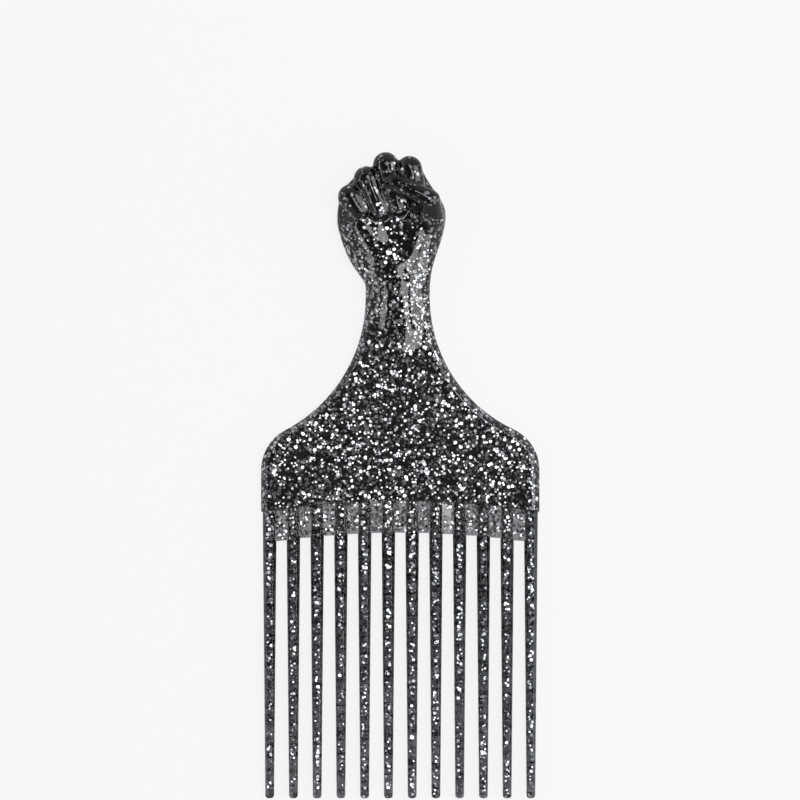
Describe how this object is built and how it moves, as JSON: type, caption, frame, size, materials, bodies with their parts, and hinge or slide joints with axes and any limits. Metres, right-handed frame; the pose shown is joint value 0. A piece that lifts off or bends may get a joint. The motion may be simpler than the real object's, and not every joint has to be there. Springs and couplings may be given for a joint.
{
  "type": "afro pick",
  "caption": "Flat one-piece plastic hair pick with long parallel teeth, a thin web at their roots and a raised-fist handle, for lifting and untangling hair.",
  "frame": {"origin": "on the flat back face, midway between the centres of the two shoulder curves", "axes": "+Y from the teeth to the fist, +Z out of the front, X across the row of teeth"},
  "size_m": [0.0768, 0.1781, 0.0128],
  "materials": {
    "moulded_plastic": "polished black polystyrene with silver glitter moulded in",
    "tooth_plastic": "polished smoke-black polystyrene with silver glitter moulded in, lighter where it is thin",
    "web_plastic": "thin translucent smoke-grey polystyrene with silver glitter moulded in"
  },
  "bodies": {
    "root": {"back_plate": "moulded_plastic", "fist": "moulded_plastic", "root_web": "web_plastic", "tooth_01": "tooth_plastic", "tooth_02": "tooth_plastic", "tooth_03": "tooth_plastic", "tooth_04": "tooth_plastic", "tooth_05": "tooth_plastic", "tooth_06": "tooth_plastic", "tooth_07": "tooth_plastic", "tooth_08": "tooth_plastic", "tooth_09": "tooth_plastic", "tooth_10": "tooth_plastic", "tooth_11": "tooth_plastic", "tooth_12": "tooth_plastic"}
  },
  "joints": []
}
